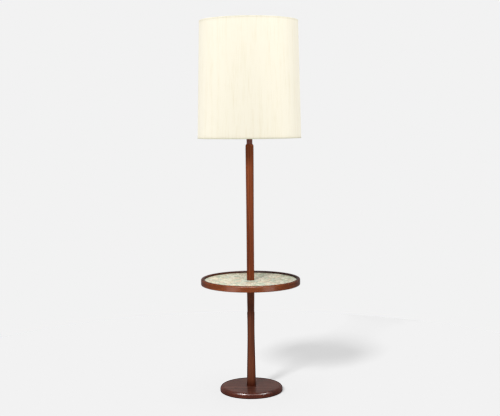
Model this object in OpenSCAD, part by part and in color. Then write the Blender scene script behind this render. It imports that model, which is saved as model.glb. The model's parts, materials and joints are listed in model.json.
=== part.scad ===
// Floor lamp with a round mosaic table carried on its column. All sizes are in millimetres.
// The origin is the centre of the underside of the base. +Z is up, the front is -Y,
// and the supply lead enters the base at the back, +Y.

/* [Base] */
// Thickness of the felt pad that the lamp stands on
felt_t = 2; // [1:0.5:3]
// Diameter of the felt pad
felt_d = 238; // [220:1:242]
// Diameter of the wooden base disc
base_d = 248; // [246:1:320]
// Thickness of the wooden base disc
base_t = 20; // [19:0.5:30]
// Radius of the base disc's upper edge
base_top_r = 11.5; // [3:0.5:12]
// Radius of the base disc's lower edge
base_low_r = 2; // [1:0.5:3]
// Wood left between the ballast and the top of the base
base_web = 8; // [7:0.5:9]
// Diameter of the pocket for the ballast
pocket_d = 200; // [180:1:204]
// Diameter of the wrench opening in the middle of the ballast
ballast_eye_d = 44; // [40:1:60]
// Width of the lead's slot in the ballast
ballast_slot_w = 10; // [8:0.5:14]
// Number of screws that hold the ballast
ballast_screws = 3; // [3:1:6]
// Radius of the circle that the ballast screws stand on
ballast_screw_r = 70; // [50:1:80]
// Height of the lead's inlet above the bottom of the base disc
inlet_h = 6.5; // [6.3:0.1:7]
// Bore of the inlet bushing
inlet_bore_d = 6.8; // [6:0.1:7.2]
// Outer diameter of the bushing's barrel
bushing_d = 9; // [8.4:0.1:9.6]
// Diameter of the bushing's flange
bushing_flange_d = 12; // [11:0.1:12.5]
// Thickness of the bushing's flange
bushing_flange_t = 2; // [1.5:0.1:2.5]

/* [Column] */
// Length of the lower column, from the base to the table's hub
lower_len = 397.5; // [300:0.5:500]
// Diameter of the lower column at its foot
foot_d = 37; // [33:0.5:44]
// Height of the flare at the foot
foot_flare_h = 45; // [20:1:80]
// Diameter that the lower column would have at its foot without the flare
shank_d = 33; // [30:0.5:36]
// Diameter of the lower column at its waist
waist_d = 26.6; // [25:0.1:29]
// Height of the waist above the foot
waist_h = 228; // [150:1:260]
// Diameter of the lower column under the table
lower_top_d = 29.8; // [26:0.1:32]
// Length of the upper column, from the table's panel to its shoulder
upper_len = 544.5; // [450:0.5:650]
// Diameter of the upper column in its lower part
upper_d = 29.6; // [25.5:0.1:32]
// Length of the upper column's even lower part
upper_even_len = 192; // [100:1:300]
// Diameter of the upper column just below its shoulder
upper_top_d = 32; // [28:0.1:35]
// Height of the rounded shoulder
shoulder_h = 9.5; // [5:0.5:16]
// Diameter of the neck
neck_d = 22.8; // [18:0.1:25]
// Length of the neck, from the shoulder up into the shade
neck_len = 139.5; // [90:0.5:160]
// Diameter of the tenons on the lower column
tenon_d = 20; // [16:0.5:21]
// Length of the tenons on the lower column
tenon_len = 4; // [3:0.5:5]

/* [Rods and fasteners] */
// Outer diameter of the threaded rods
rod_d = 9.6; // [9:0.1:10.4]
// Bore of the threaded rods, for the leads
rod_bore_d = 6.6; // [6:0.1:7]
// Length of rod that shows past the nut under the base
rod_tail = 2; // [1:0.5:3]
// Width across the flats of the rod nuts
nut_w = 14; // [13:0.5:15]
// Thickness of the rod nuts
nut_t = 4; // [3:0.5:4.5]
// Diameter of the washer under the base
base_washer_d = 30; // [24:1:36]
// Thickness of the rod washers
washer_t = 1.5; // [1:0.1:2]
// Diameter of the washer on the table's panel
table_washer_d = 19; // [17.5:0.1:20]
// Outer diameter of the rod coupling
coupling_d = 13; // [12:0.1:14]
// Length of the rod coupling
coupling_len = 22; // [16:1:30]
// Shank diameter of the wood screws
screw_d = 4; // [3:0.1:4.5]
// Head diameter of the wood screws
screw_head_d = 8; // [6.5:0.1:9]
// Length of the wood screws' bite beyond what they hold
screw_bite = 5; // [3:0.5:6]

/* [Table] */
// Diameter of the table
table_d = 394; // [330:1:460]
// Height of the table's rim
rim_h = 24; // [20:0.5:32]
// Width of the table's rim, seen from above
rim_w = 13; // [9:0.5:18]
// Radius of the rim's upper outer edge
rim_r = 5; // [2:0.5:6]
// Radius of the rim's other edges
rim_edge_r = 2.5; // [1:0.5:3]
// Width of the ledge inside the rim, under the panel
ledge_w = 8; // [5:0.5:14]
// Height that the rim stands above the tiles
rim_lip = 6.9; // [2:0.1:8]
// Thickness of the table's panel
panel_t = 7; // [6:0.5:10]
// Diameter of the hub under the table
hub_d = 90; // [60:1:130]
// Thickness of the hub under the table
hub_t = 17.5; // [12:0.5:24]
// Radius of the hub's lower edge
hub_r = 5; // [2:0.5:6]
// Number of screws through the hub into the panel
hub_screws = 4; // [3:1:6]

/* [Mosaic] */
// Mean distance between neighbouring tiles
tile_pitch = 18; // [15:0.5:30]
// How far a tile strays from an even layout, as a share of the pitch
tile_stray = 0.3; // [0:0.05:0.35]
// Width of the joints between tiles
joint_w = 1.4; // [1:0.1:2.5]
// Thickness of the tiles
tile_t = 4; // [3:0.5:5]
// Depth of the joints below the tiles' faces
joint_depth = 0.5; // [0.2:0.1:1]
// Thickness of the bed under the tiles
bed_t = 1.5; // [1:0.1:3]
// Number that sets the layout of the tiles
tile_layout = 11; // [1:1:99]

/* [Light fitting] */
// Diameter of the washer plate on top of the neck
plate_d = 25; // [22:0.5:30]
// Thickness of the washer plate on top of the neck
plate_t = 3; // [2:0.5:5]
// Diameter of the socket's cap
cap_d = 34; // [33.6:0.1:38]
// Height of the socket's cap
cap_h = 17; // [15:0.5:18]
// Height from the bottom of the socket's cap to its core
core_lift = 12; // [11:0.5:13]
// Height of the socket's core
core_h = 20; // [18:0.5:24]
// Height of the turn key's axis above the bottom of the core
key_h = 9.5; // [9:0.1:12]
// Wall of the socket's brass parts
brass_t = 0.8; // [0.6:0.1:1]
// Length of the socket's threaded liner
liner_len = 22; // [18:0.5:26]
// Diameter of the turn key's stem
key_stem_d = 4.8; // [4:0.1:5.5]
// Diameter of the turn key's knob
key_knob_d = 11; // [9:0.5:14]
// Length of the turn key's knob
key_knob_len = 10; // [7:0.5:12]
// Diameter of the bulb's cap
bulb_cap_d = 26.2; // [26:0.1:26.8]
// Height of the bulb's cap
bulb_cap_h = 26; // [24:0.5:28]
// Diameter of the bulb's globe
globe_d = 60; // [50:1:72]
// Overall length of the bulb
bulb_len = 108; // [98:1:125]
// Wall of the bulb's glass
glass_t = 0.9; // [0.6:0.1:1.2]

/* [Harp] */
// Height of the harp, from its saddle to the shade's seat
harp_h = 305; // [240:1:350]
// Diameter of the harp's wire
wire_d = 3.2; // [2.6:0.1:4]
// Distance from the axis to the harp's feet
foot_x = 36; // [30:0.5:42]
// Distance from the axis to the harp's widest part
belly_x = 57; // [48:0.5:64]
// Height of the harp's widest part above the saddle
belly_h = 150; // [110:1:180]
// Radius of the harp's upper bends
crown_r = 35; // [25:0.5:38]
// Width of the saddle's strip
saddle_w = 14; // [12.5:0.5:18]
// Thickness of the saddle's strip
saddle_t = 1.5; // [1.2:0.1:2.5]
// Height of the saddle's posts
post_h = 10; // [7:0.5:11]
// Length of the sleeves that lock the harp
sleeve_len = 16; // [13:0.5:20]
// Outer diameter of the sleeves
sleeve_d = 7; // [6:0.1:9]
// How far a sleeve lifts to free the harp
sleeve_lift = 11; // [11:0.5:14]
// Diameter of the stud that carries the shade
stud_d = 6.35; // [6:0.05:7]
// Length of the stud above the shade's seat
stud_len = 12; // [10:0.5:14]
// Diameter of the shade's seat
seat_d = 12; // [11:0.5:16]

/* [Shade] */
// Diameter of the shade at the bottom
shade_low_d = 406; // [380:1:450]
// Diameter of the shade at the top
shade_top_d = 385; // [360:1:440]
// Height of the shade
shade_h = 455; // [400:1:480]
// Depth of the shade's carrier below its upper rim
carrier_drop = 26; // [24:0.5:40]
// Thickness of the shade's fabric
cloth_t = 0.8; // [0.5:0.1:1.2]
// Thickness of the shade's backing
backing_t = 0.6; // [0.4:0.1:1]
// Diameter of the rings' wire
ring_wire_d = 3; // [2.5:0.1:4]
// Width of the trim along the rims
trim_w = 7; // [5:0.5:12]
// Thickness of the trim
trim_t = 0.5; // [0.3:0.1:0.8]
// Radius of the bends in the carrier's arms
arm_bend_r = 7; // [4:0.5:10]
// Diameter of the carrier's washer
carrier_washer_d = 28; // [22:1:40]
// Thickness of the carrier's washer
carrier_washer_t = 1.5; // [1:0.1:2]
// Diameter of the finial's knob
finial_d = 18; // [16:0.5:26]
// Height of the finial's knob
finial_h = 16; // [14:0.5:20]

/* [Fits] */
// Radial clearance of a piece that turns or slides on another
running_gap = 0.08; // [0.02:0.01:0.1]
// Gap between flat faces that move past each other
face_gap = 0.3; // [0.2:0.05:0.4]
// Radial clearance of fixed wood and metal pieces
fixed_gap = 0.1; // [0.05:0.05:0.2]
// Radial clearance of the rods in the wood
rod_gap = 0.3; // [0.1:0.05:0.4]
// Radial clearance round the turn key's stem in the shell
key_gap = 0.5; // [0.3:0.05:0.8]

/* [Hidden] */
$fn = 96;
EPS = 0.01;

// Heights, from the floor up
base_z = felt_t;
base_top_z = base_z + base_t;
pocket_z = base_top_z - base_web;
hub_z = base_top_z + lower_len;
panel_z = hub_z + hub_t;
panel_top_z = panel_z + panel_t;
tile_z = panel_top_z + bed_t;
tile_top_z = tile_z + tile_t;
rim_top_z = tile_top_z + rim_lip;
rim_z = rim_top_z - rim_h;
shoulder_z = panel_top_z + upper_len;
neck_top_z = shoulder_z + neck_len;
plate_top_z = neck_top_z + plate_t;
saddle_z = plate_top_z + nut_t;
saddle_top_z = saddle_z + saddle_t;
seat_z = saddle_z + harp_h;
carrier_z = seat_z + face_gap;
shade_top_z = carrier_z + carrier_drop;
shade_z = shade_top_z - shade_h;
finial_z = carrier_z + carrier_washer_t + face_gap;

// Base
ballast_t = base_t - base_web - face_gap;
ballast_gap = 0.4;
base_nut_z = pocket_z - washer_t - nut_t;
inlet_z = base_z + inlet_h;
inlet_seat_y = sqrt(pow(base_d / 2, 2) - pow(bushing_flange_d / 2, 2)) - bushing_flange_t;

// Rods
rod_bore = rod_d / 2 + rod_gap;
table_nut_z = panel_top_z + washer_t;
coupling_z = table_nut_z + nut_t;
rod_joint_z = coupling_z + coupling_len / 2;
cap_floor = 1.2;
rod_grip = 7;
rod_top_z = saddle_top_z + cap_floor + rod_grip;

// Table
field_r = table_d / 2 - rim_w;
tile_r = field_r - joint_w / 2;
hole_r = upper_d / 2 + fixed_gap;
hub_screw_r = hub_d / 4 + tenon_d / 4;
hub_top_r = 1;
column_step = 14;

// Socket and bulb
cap_z = saddle_top_z;
core_z = cap_z + core_lift;
core_top_z = core_z + core_h;
shell_top_z = core_top_z + liner_len;
shell_d = cap_d - 2 * brass_t - 2 * fixed_gap;
insulator_t = 0.8;
insulator_step = 1;
insulator_d = shell_d - 2 * brass_t - 2 * fixed_gap;
core_d = insulator_d - 2 * insulator_t - 2 * fixed_gap;
liner_t = 0.4;
liner_bore_d = bulb_cap_d + 2 * running_gap;
liner_d = liner_bore_d + 2 * liner_t;
contact_t = 0.8;
contact_d = 9;
cap_foot_r = cap_d / 3;
cap_flare_h = 0.45 * cap_h;
cap_hub_d = rod_d + 5;
key_z = core_z + key_h;
key_root = 6;
bulb_z = core_top_z + contact_t + face_gap;
globe_z = bulb_z + bulb_len - globe_d / 2;
bulb_neck_d = bulb_cap_d - 1.2;
bulb_neck_z = bulb_z + bulb_cap_h + 2;
glass_z = bulb_neck_z - 10;
stem_len = 34;
stem_r = 2.5;
lead_x = 1.5;

// Harp: each side is a straight foot, two side arcs that meet at the belly, and a crown arc
leg_top_h = saddle_t + sleeve_len + sleeve_lift + 2;
crown_x = seat_d / 2 + 1;
crown_drop = 5;
crown_h = harp_h - crown_drop;
low_rise = belly_h - leg_top_h;
low_arc_r = (pow(low_rise, 2) + pow(belly_x - foot_x, 2)) / (2 * (belly_x - foot_x));
low_arc_angle = asin(low_rise / low_arc_r);
crown_rise = crown_h - crown_r - belly_h;
crown_reach = belly_x - crown_x;
high_arc_r = (pow(crown_reach, 2) + pow(crown_rise, 2) - pow(crown_r, 2)) / (2 * (crown_reach - crown_r));
high_arc_angle = asin(crown_rise / (high_arc_r - crown_r));

// Shade
film_gap = 0.05;
carrier_arms = 3;
shade_slope = (shade_low_d - shade_top_d) / 2 / shade_h;
ring_r = ring_wire_d / 2;
ring_inset = cloth_t + film_gap + backing_t + fixed_gap + ring_r;
trim_reach = ring_inset + ring_r + fixed_gap;
ring_depth = trim_t + fixed_gap + ring_r;

function ease(a, b, t) = a + (b - a) * (1 - cos(180 * min(max(t, 0), 1))) / 2;

// Extra radius of the flare at the lower column's foot, at height h above the foot
function flare_r(h) = (foot_d - shank_d) / 2 * pow(max(0, 1 - h / foot_flare_h), 2);
// Radius of the lower column at height h above its foot
function lower_r(h) = flare_r(h) + (h < waist_h
    ? ease(shank_d, waist_d, h / waist_h)
    : ease(waist_d, lower_top_d, (h - waist_h) / (lower_len - waist_h))) / 2;

// Radius of the upper column at height h above its foot, below the shoulder
upper_slope_len = upper_len - shoulder_h - upper_even_len;
function upper_r(h) = ease(upper_d, upper_top_d, (h - upper_even_len) / upper_slope_len) / 2;

// Outer radius of the shade's fabric at height z above the floor
function shade_r(z) = shade_top_d / 2 + shade_slope * (shade_top_z - z);

module tube(r_out, r_in, z, h) {
    translate([0, 0, z]) difference() {
        cylinder(r = r_out, h = h);
        translate([0, 0, -EPS]) cylinder(r = r_in, h = h + 2 * EPS);
    }
}

module bore(r, z, h) {
    translate([0, 0, z - EPS]) cylinder(r = r, h = h + 2 * EPS);
}

module hex_nut(z) {
    translate([0, 0, z]) difference() {
        cylinder(r = nut_w / 2 / cos(30), h = nut_t, $fn = 6);
        translate([0, 0, -EPS]) cylinder(r = rod_d / 2 + fixed_gap, h = nut_t + 2 * EPS);
    }
}

// A flat-headed wood screw that points up, with its head's face at z = 0
module wood_screw(len) {
    head_h = (screw_head_d - screw_d) / 2;
    tip_h = screw_d;
    cylinder(d1 = screw_head_d, d2 = screw_d, h = head_h);
    cylinder(d = screw_d, h = len - tip_h);
    translate([0, 0, len - tip_h]) cylinder(d1 = screw_d, d2 = screw_d / 4, h = tip_h);
}

// The hole that a wood screw of the same length fills
module screw_hole(len) {
    head_h = (screw_head_d - screw_d) / 2;
    grow = 2 * fixed_gap;
    translate([0, 0, -EPS]) cylinder(d1 = screw_head_d + grow, d2 = screw_d + grow, h = head_h + EPS);
    cylinder(d = screw_d + grow, h = len + fixed_gap);
}

// Puts its children on a circle, the first one at the given angle
module on_circle(count, r, first) {
    for (i = [0:count - 1]) rotate([0, 0, first + i * 360 / count]) translate([r, 0, 0]) children();
}

// ---- Base ----

module base_felt() {
    color("dimgray") cylinder(d = felt_d, h = felt_t);
}

// Half outline of a disc with rounded outer edges
module disc_outline(d, t, top_r, low_r) {
    square([d / 2 - top_r, t]);
    square([d / 2 - low_r, t - top_r]);
    translate([0, low_r]) square([d / 2, t - top_r - low_r]);
    translate([d / 2 - top_r, t - top_r]) intersection() {
        circle(top_r);
        square(top_r);
    }
    translate([d / 2 - low_r, low_r]) circle(low_r);
}

ballast_screw_len = ballast_t + screw_bite;

module base_disc() {
    color([0.42, 0.2, 0.13]) difference() {
        translate([0, 0, base_z]) rotate_extrude() disc_outline(base_d, base_t, base_top_r, base_low_r);
        bore(pocket_d / 2, base_z, pocket_z - base_z - EPS);
        bore(rod_bore, base_z, base_t);
        bore(tenon_d / 2 + fixed_gap, base_top_z - tenon_len - fixed_gap, tenon_len + fixed_gap);
        translate([0, 0, pocket_z - ballast_t]) on_circle(ballast_screws, ballast_screw_r, -90)
            screw_hole(ballast_screw_len);
        translate([0, 0, inlet_z]) rotate([-90, 0, 0]) {
            cylinder(d = bushing_d + 2 * fixed_gap, h = base_d);
            translate([0, 0, inlet_seat_y]) cylinder(d = bushing_flange_d + 2 * fixed_gap, h = base_d);
        }
    }
}

module base_ballast() {
    color([0.2, 0.2, 0.21]) difference() {
        tube(pocket_d / 2 - ballast_gap, ballast_eye_d / 2, pocket_z - ballast_t, ballast_t);
        translate([-ballast_slot_w / 2, 0, base_z]) cube([ballast_slot_w, pocket_d, base_t]);
        translate([0, 0, pocket_z - ballast_t]) on_circle(ballast_screws, ballast_screw_r, -90)
            screw_hole(ballast_screw_len);
    }
}

module ballast_screws_set() {
    color("silver") translate([0, 0, pocket_z - ballast_t]) on_circle(ballast_screws, ballast_screw_r, -90)
        wood_screw(ballast_screw_len);
}

module base_washer() {
    color("silver") tube(base_washer_d / 2, rod_d / 2 + fixed_gap, pocket_z - washer_t, washer_t);
}

module base_nut() {
    color("silver") hex_nut(base_nut_z);
}

module cord_bushing() {
    barrel = inlet_seat_y - pocket_d / 2;
    color([0.1, 0.1, 0.1]) translate([0, 0, inlet_z]) rotate([-90, 0, 0]) difference() {
        union() {
            translate([0, 0, inlet_seat_y - barrel]) cylinder(d = bushing_d, h = barrel + EPS);
            translate([0, 0, inlet_seat_y]) cylinder(d = bushing_flange_d, h = bushing_flange_t);
        }
        translate([0, 0, pocket_d / 4]) cylinder(d = inlet_bore_d, h = base_d);
    }
}

// ---- Column ----

module lower_column() {
    flare_steps = 6;
    shank_len = lower_len - foot_flare_h;
    shank_steps = ceil(shank_len / column_step);
    heights = concat([for (i = [0:flare_steps - 1]) i * foot_flare_h / flare_steps],
        [for (i = [0:shank_steps]) foot_flare_h + i * shank_len / shank_steps]);
    color([0.4, 0.19, 0.12]) translate([0, 0, base_top_z]) difference() {
        union() {
            rotate_extrude() polygon(concat([[0, 0]], [for (h = heights) [lower_r(h), h]], [[0, lower_len]]));
            translate([0, 0, -tenon_len]) cylinder(d = tenon_d, h = lower_len + 2 * tenon_len);
        }
        bore(rod_bore, -tenon_len, lower_len + 2 * tenon_len);
    }
}

module lower_rod() {
    z = base_nut_z - rod_tail;
    color("darkgray") tube(rod_d / 2, rod_bore_d / 2, z, rod_joint_z - z);
}

module table_washer() {
    color("silver") tube(table_washer_d / 2, rod_d / 2 + fixed_gap, panel_top_z, washer_t);
}

module table_nut() {
    color("silver") hex_nut(table_nut_z);
}

module rod_coupling() {
    color("silver") tube(coupling_d / 2, rod_d / 2 + fixed_gap, coupling_z, coupling_len);
}

module upper_column() {
    even_steps = 3;
    slope_steps = ceil(upper_slope_len / column_step);
    round_steps = 8;
    shoulder_w = (upper_top_d - neck_d) / 2;
    even = [for (i = [0:even_steps]) [upper_d / 2, i * upper_even_len / even_steps]];
    slope = [for (i = [1:slope_steps]) let (h = upper_even_len + i * upper_slope_len / slope_steps)
        [upper_r(h), h]];
    shoulder = [for (i = [1:round_steps]) let (a = 90 * i / round_steps)
        [neck_d / 2 + shoulder_w * cos(a), upper_len - shoulder_h + shoulder_h * sin(a)]];
    color([0.5, 0.24, 0.15]) translate([0, 0, panel_top_z]) difference() {
        rotate_extrude() polygon(concat([[0, 0]], even, slope, shoulder, [[0, upper_len]]));
        bore(rod_bore, 0, upper_len);
        bore(max(table_washer_d, nut_w / cos(30)) / 2 + rod_gap, 0, washer_t + nut_t + rod_gap);
        bore(coupling_d / 2 + rod_gap, 0, washer_t + nut_t + coupling_len + rod_gap);
    }
}

module upper_rod() {
    color("darkgray") tube(rod_d / 2, rod_bore_d / 2, rod_joint_z, rod_top_z - rod_joint_z);
}

module neck() {
    color([0.38, 0.27, 0.22]) tube(neck_d / 2, rod_bore, shoulder_z, neck_len);
}

module neck_plate() {
    color([0.75, 0.6, 0.3]) tube(plate_d / 2, rod_d / 2 + fixed_gap, neck_top_z, plate_t);
}

module neck_nut() {
    color([0.75, 0.6, 0.3]) hex_nut(plate_top_z);
}

// ---- Table ----

hub_screw_len = hub_t + screw_bite;

module table_hub() {
    color([0.4, 0.19, 0.12]) difference() {
        translate([0, 0, hub_z]) rotate_extrude() disc_outline(hub_d, hub_t, hub_top_r, hub_r);
        bore(rod_bore, hub_z, hub_t);
        bore(tenon_d / 2 + fixed_gap, hub_z, tenon_len + fixed_gap);
        translate([0, 0, hub_z]) on_circle(hub_screws, hub_screw_r, 45) screw_hole(hub_screw_len);
    }
}

module table_hub_screws() {
    color("silver") translate([0, 0, hub_z]) on_circle(hub_screws, hub_screw_r, 45) wood_screw(hub_screw_len);
}

module table_panel() {
    color([0.72, 0.58, 0.4]) difference() {
        tube(field_r - fixed_gap, rod_bore, panel_z, panel_t);
        translate([0, 0, hub_z]) on_circle(hub_screws, hub_screw_r, 45) screw_hole(hub_screw_len);
    }
}

module table_rim() {
    ledge_top = panel_z - rim_z;
    color([0.5, 0.24, 0.15]) translate([0, 0, rim_z]) rotate_extrude() {
        translate([field_r + rim_edge_r, 0]) square([rim_w - 2 * rim_edge_r, rim_edge_r]);
        translate([field_r, rim_edge_r]) square([rim_w, rim_h - rim_edge_r - rim_r]);
        translate([field_r, rim_h - rim_r]) square([rim_w - rim_r, rim_r - rim_edge_r]);
        translate([field_r + rim_edge_r, rim_h - rim_edge_r]) square([rim_w - rim_edge_r - rim_r, rim_edge_r]);
        for (p = [[rim_edge_r, rim_edge_r], [rim_w - rim_edge_r, rim_edge_r], [rim_edge_r, rim_h - rim_edge_r]])
            translate([field_r + p.x, p.y]) circle(rim_edge_r);
        translate([field_r + rim_w - rim_r, rim_h - rim_r]) circle(rim_r);
        translate([field_r - ledge_w, 0]) square([ledge_w + rim_edge_r, ledge_top]);
    }
}

// The tiles are the cells round points that stray from an even layout in staggered rows.
// Each cell is what is left of a square after it is cut half way to each near neighbour,
// along the table's rim and along the column, always short by half a joint.
tile_row = tile_pitch * sqrt(3) / 2;
tile_rows = ceil(field_r / tile_row);
tile_cols = ceil(field_r / tile_pitch);
tile_line = 2 * tile_cols + 1;
tile_noise = rands(-1, 1, 2 * tile_line * (2 * tile_rows + 1), tile_layout);
tile_hole_r = hole_r + joint_w / 2;
edge_margin = 0.3 * tile_pitch;
edge_turn = 4;
least_edge = 0.6;

function tile_index(c, r) = 2 * ((r + tile_rows) * tile_line + c + tile_cols);
function tile_seed(c, r) = let (k = tile_index(c, r), shift = r % 2 == 0 ? 0 : 0.5) [
    tile_pitch * (c + shift + tile_stray * tile_noise[k]),
    tile_row * r + tile_pitch * tile_stray * tile_noise[k + 1]
];
function is_tile(p) = norm(p) < tile_r - edge_margin && norm(p) > tile_hole_r + edge_margin;

// What is left of a convex outline p where p . n <= d
function cut(p, n, d) = [for (i = [0:len(p) - 1])
    let (a = p[i], b = p[(i + 1) % len(p)], da = d - a * n, db = d - b * n)
    each concat(da >= 0 ? [a] : [], da * db < 0 ? [a + (b - a) * da / (da - db)] : [])];
function cut_all(p, lines, i = 0) = i == len(lines)
    ? p
    : cut_all(cut(p, lines[i][0], lines[i][1]), lines, i + 1);

// An outline without its shortest edges
function trim_edges(p) = [for (i = [0:len(p) - 1]) if (norm(p[(i + 1) % len(p)] - p[i]) > least_edge) p[i]];

function tile_outline(c, r) = let (
    p = tile_seed(c, r),
    out = p / norm(p),
    heading = atan2(p.y, p.x),
    near = [for (dr = [-2:2], dc = [-2:2]) if ((dr != 0 || dc != 0) && abs(r + dr) <= tile_rows
        && abs(c + dc) <= tile_cols) let (q = tile_seed(c + dc, r + dr)) if (is_tile(q)) q],
    halves = [for (q = near) let (n = (q - p) / norm(q - p)) [n, n * (p + q) / 2 - joint_w / 2]],
    rim = [for (i = [-3:3]) let (a = heading + i * edge_turn) [[cos(a), sin(a)], tile_r]],
    hole = [[-out, -tile_hole_r]],
    w = 1.3 * tile_pitch,
    start = [for (s = [[-1, -1], [1, -1], [1, 1], [-1, 1]]) p + w * s]
) trim_edges(cut_all(start, concat(halves, rim, hole)));

tiles = [for (r = [-tile_rows:tile_rows], c = [-tile_cols:tile_cols])
    if (is_tile(tile_seed(c, r))) tile_outline(c, r)];

module tile_blocks(h) {
    translate([0, 0, tile_z]) for (t = tiles) linear_extrude(h) polygon(t);
}

module grout_bed() {
    color([0.78, 0.76, 0.7]) difference() {
        tube(field_r - fixed_gap, hole_r, panel_top_z, bed_t + tile_t - joint_depth);
        tile_blocks(2 * tile_t);
    }
}

module mosaic_tiles() {
    color([0.8, 0.82, 0.72]) tile_blocks(tile_t);
}

// ---- Socket ----

module socket_cap() {
    hub_len = rod_top_z - cap_z;
    color([0.78, 0.62, 0.3]) translate([0, 0, cap_z]) difference() {
        union() {
            difference() {
                rotate_extrude() polygon([[0, 0], [cap_foot_r, 0], [cap_d / 2, cap_flare_h],
                    [cap_d / 2, cap_h], [0, cap_h]]);
                rotate_extrude() polygon([[0, cap_floor], [cap_foot_r - brass_t / 2, cap_floor],
                    [cap_d / 2 - brass_t, cap_flare_h + brass_t / 2], [cap_d / 2 - brass_t, cap_h + EPS],
                    [0, cap_h + EPS]]);
            }
            cylinder(d = cap_hub_d, h = hub_len);
        }
        bore(rod_d / 2 + fixed_gap, 0, hub_len);
    }
}

terminal_d = 5.5;
terminal_shank_d = 2.5;
terminal_len = 4;
terminal_head_t = 2;
terminal_slot = 0.8;
terminal_depth = 2.6;

// Places its children at the two terminals, pointing outwards
module at_terminals() {
    for (s = [-1, 1]) translate([s * (core_d / 2 - terminal_depth), 0, key_z])
        rotate([0, s * 90, 0]) children();
}

module socket_core() {
    color([0.12, 0.11, 0.1]) difference() {
        translate([0, 0, core_z]) cylinder(d = core_d, h = core_h);
        // Bearing of the turn key's stem
        translate([0, 0, key_z]) rotate([90, 0, 0])
            translate([0, 0, key_root - face_gap]) cylinder(d = key_stem_d + 2 * running_gap, h = core_d);
        // Seats of the terminal screws
        at_terminals() {
            cylinder(d = terminal_d + 2 * key_gap, h = core_d);
            translate([0, 0, -terminal_len]) cylinder(d = terminal_shank_d + 2 * fixed_gap, h = core_d);
        }
    }
}

module terminal_screws() {
    color([0.8, 0.65, 0.35]) at_terminals() {
        difference() {
            cylinder(d = terminal_d, h = terminal_head_t);
            translate([-terminal_d, -terminal_slot / 2, terminal_head_t - terminal_slot])
                cube([2 * terminal_d, terminal_slot, terminal_head_t]);
        }
        translate([0, 0, -terminal_len]) cylinder(d = terminal_shank_d, h = terminal_len + EPS);
    }
}

module socket_contact() {
    color([0.8, 0.65, 0.35]) translate([0, 0, core_top_z]) cylinder(d = contact_d, h = contact_t);
}

module socket_liner() {
    color([0.8, 0.65, 0.35]) tube(liner_d / 2, liner_bore_d / 2, core_top_z, liner_len);
}

// The hole that the turn key's stem passes through, in the front wall
module key_hole() {
    translate([0, 0, key_z]) rotate([90, 0, 0]) translate([0, 0, core_d / 4])
        cylinder(d = key_stem_d + 2 * key_gap, h = cap_d);
}

module socket_insulator() {
    color([0.55, 0.45, 0.33]) difference() {
        tube(insulator_d / 2, insulator_d / 2 - insulator_t, core_z, shell_top_z - core_z - insulator_step);
        key_hole();
    }
}

module socket_shell() {
    color([0.8, 0.64, 0.32]) difference() {
        tube(shell_d / 2, shell_d / 2 - brass_t, core_z, shell_top_z - core_z);
        key_hole();
    }
}

module switch_key() {
    knob_y = cap_d / 2 + 2;
    taper = 1;
    flutes = 10;
    flute_r = 0.9;
    color([0.1, 0.09, 0.09]) translate([0, 0, key_z]) rotate([90, 0, 0]) difference() {
        union() {
            translate([0, 0, key_root]) cylinder(d = key_stem_d, h = knob_y - key_root + taper);
            translate([0, 0, knob_y]) cylinder(d1 = key_knob_d, d2 = key_knob_d - taper, h = key_knob_len);
        }
        for (i = [0:flutes - 1]) rotate([0, 0, i * 360 / flutes])
            translate([key_knob_d / 2 + flute_r / 3, 0, knob_y + taper])
                cylinder(r = flute_r, h = key_knob_len);
    }
}

// ---- Bulb ----

module bulb_cap() {
    button_r = 4.5;
    button_h = 1.5;
    cone_h = 4;
    wall = 0.4;
    r = bulb_cap_d / 2;
    color([0.75, 0.75, 0.76]) translate([0, 0, bulb_z]) rotate_extrude() polygon([[0, 0], [button_r, 0],
        [button_r, button_h], [r - 1.5, cone_h], [r, cone_h + 1], [r, bulb_cap_h], [r - wall, bulb_cap_h],
        [r - wall, cone_h + 2], [0, cone_h + 2]]);
}

// Half outline of a bulb's glass: a globe, a cone that touches it and a straight neck
module glass_outline(inset) {
    r = globe_d / 2 - inset;
    neck_r = bulb_neck_d / 2 - inset;
    rise = globe_z - bulb_neck_z;
    reach = norm([neck_r, rise]);
    touch = acos(r / reach) - atan2(rise, neck_r);
    low = glass_z - (inset > 0 ? EPS : 0);
    intersection() {
        union() {
            translate([0, globe_z]) circle(r);
            polygon([[0, low], [neck_r, low], [neck_r, bulb_neck_z],
                [r * cos(touch), globe_z + r * sin(touch)], [0, globe_z]]);
        }
        translate([0, bulb_z]) square([globe_d, bulb_len]);
    }
}

module bulb_glass() {
    color([0.96, 0.96, 0.94]) rotate_extrude() difference() {
        glass_outline(0);
        glass_outline(glass_t);
    }
}

module bulb_stem() {
    flare_h = 8;
    color([0.85, 0.88, 0.9]) translate([0, 0, glass_z]) {
        cylinder(r1 = bulb_neck_d / 2 - glass_t - fixed_gap, r2 = stem_r + 1, h = flare_h);
        cylinder(r = stem_r, h = stem_len);
    }
}

module bulb_filament() {
    lead_r = 0.4;
    coil_r = 0.7;
    spread = 14;
    rise = 16;
    lean = atan2(spread - lead_x, rise);
    color([0.5, 0.5, 0.52]) translate([0, 0, glass_z + stem_len]) {
        for (s = [-1, 1]) translate([s * lead_x, 0, lead_r]) rotate([0, s * lean, 0])
            cylinder(r = lead_r, h = norm([spread - lead_x, rise]));
        translate([-spread, 0, lead_r + rise]) rotate([0, 90, 0]) cylinder(r = coil_r, h = 2 * spread);
    }
}

// ---- Harp ----

module harp_saddle() {
    reach = foot_x + wire_d + 2;
    color([0.75, 0.6, 0.3]) {
        difference() {
            union() {
                translate([-reach, -saddle_w / 4, saddle_z]) cube([2 * reach, saddle_w / 2, saddle_t]);
                translate([0, 0, saddle_z]) cylinder(d = saddle_w + 4, h = saddle_t);
            }
            bore(rod_d / 2 + fixed_gap, saddle_z, saddle_t);
        }
        for (s = [-1, 1]) translate([s * foot_x, 0, saddle_top_z - EPS])
            cylinder(d = wire_d, h = post_h + EPS);
    }
}

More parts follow.
